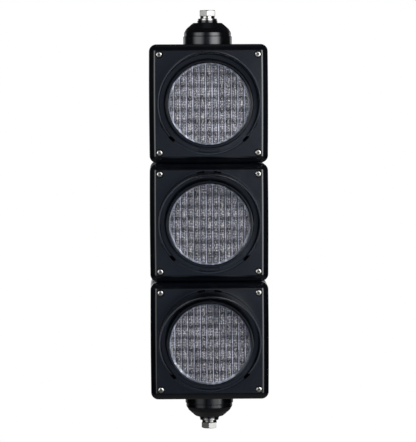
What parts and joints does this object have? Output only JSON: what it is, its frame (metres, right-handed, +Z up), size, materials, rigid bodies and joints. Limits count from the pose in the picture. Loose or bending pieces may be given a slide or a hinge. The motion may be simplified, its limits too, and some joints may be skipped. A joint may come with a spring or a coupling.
{
  "type": "traffic signal head",
  "caption": "Vertical black polycarbonate traffic signal head with clear round lenses under cutaway visors, hung between stainless bracket bolts on swivel caps.",
  "frame": {"origin": "on the swivel axis, at the face of the lower collar, where the lower bracket clamps", "axes": "+Z up along the swivel axis, -Y the way the lenses face, +X to the right seen from the front"},
  "size_m": [0.148, 0.201, 0.5296],
  "materials": {
    "housing_plastic": "moulded black polycarbonate, fine satin grain",
    "door_plastic": "moulded black polycarbonate, satin",
    "visor_plastic": "moulded black polycarbonate, matt inside",
    "bezel_plastic": "moulded black polycarbonate, satin",
    "cup_plastic": "moulded black ABS",
    "swivel_plastic": "moulded black nylon, semi-gloss",
    "gland_plastic": "moulded black nylon",
    "seal_rubber": "black EPDM, matt",
    "lens_clear": "clear fluted polycarbonate",
    "led_resin": "water-clear epoxy",
    "circuit_board": "white solder mask on glass epoxy",
    "stainless": "turned stainless steel",
    "zinc_steel": "zinc-plated steel",
    "brass_insert": "knurled brass",
    "terminal_plastic": "natural nylon",
    "wire_sleeve": "PVC insulated wire"
  },
  "bodies": {
    "head": {"upper_housing": "housing_plastic", "upper_door": "door_plastic", "upper_door_seal": "seal_rubber", "upper_bezel": "bezel_plastic", "upper_lens": "lens_clear", "upper_module_seal": "seal_rubber", "upper_led_board": "circuit_board", "upper_leds": "led_resin", "upper_lamp_cup": "cup_plastic", "middle_housing": "housing_plastic", "middle_door": "door_plastic", "middle_door_seal": "seal_rubber", "middle_bezel": "bezel_plastic", "middle_lens": "lens_clear", "middle_module_seal": "seal_rubber", "middle_led_board": "circuit_board", "middle_leds": "led_resin", "middle_lamp_cup": "cup_plastic", "lower_housing": "housing_plastic", "lower_door": "door_plastic", "lower_door_seal": "seal_rubber", "lower_bezel": "bezel_plastic", "lower_lens": "lens_clear", "lower_module_seal": "seal_rubber", "lower_led_board": "circuit_board", "lower_leds": "led_resin", "lower_lamp_cup": "cup_plastic", "door_screws": "stainless", "screw_inserts": "brass_insert", "module_screws": "zinc_steel", "upper_coupling_gasket": "seal_rubber", "lower_coupling_gasket": "seal_rubber", "coupling_bolts": "zinc_steel", "coupling_nuts": "zinc_steel", "top_base_ring": "swivel_plastic", "top_clamp_plate": "zinc_steel", "bottom_base_ring": "swivel_plastic", "bottom_clamp_plate": "zinc_steel", "gland_body": "gland_plastic", "gland_seal": "seal_rubber", "gland_cap": "gland_plastic", "gland_lock_nut": "gland_plastic", "terminal_block": "terminal_plastic", "wiring_looms": "wire_sleeve"},
    "top_mount": {"top_cap": "swivel_plastic", "top_collar": "swivel_plastic", "top_flat_washer": "stainless", "top_spring_washer": "stainless", "top_bolt": "stainless", "top_nut": "stainless"},
    "bottom_mount": {"bottom_cap": "swivel_plastic", "bottom_collar": "swivel_plastic", "bottom_flat_washer": "stainless", "bottom_spring_washer": "stainless", "bottom_bolt": "stainless", "bottom_nut": "stainless"},
    "upper_hood": {"upper_visor": "visor_plastic"},
    "middle_hood": {"middle_visor": "visor_plastic"},
    "lower_hood": {"lower_visor": "visor_plastic"}
  },
  "joints": [
    {"name": "top_swivel", "type": "hinge", "parent": "head", "child": "top_mount", "pos_m": [0, 0, 0.5034], "axis": [0, 0, 1], "range_deg": [-90, 90]},
    {"name": "bottom_swivel", "type": "hinge", "parent": "head", "child": "bottom_mount", "pos_m": [0, 0, 0], "axis": [0, 0, 1], "range_deg": [-90, 90]},
    {"name": "upper_visor_twist", "type": "hinge", "parent": "head", "child": "upper_hood", "pos_m": [0, -0.054, 0.3997], "axis": [0, -1, 0], "range_deg": [-9, 9]},
    {"name": "middle_visor_twist", "type": "hinge", "parent": "head", "child": "middle_hood", "pos_m": [0, -0.054, 0.2517], "axis": [0, -1, 0], "range_deg": [-9, 9]},
    {"name": "lower_visor_twist", "type": "hinge", "parent": "head", "child": "lower_hood", "pos_m": [0, -0.054, 0.1037], "axis": [0, -1, 0], "range_deg": [-9, 9]}
  ],
  "couplings": [
    {"joint": "bottom_swivel", "follows": "top_swivel", "ratio": 1}
  ]
}
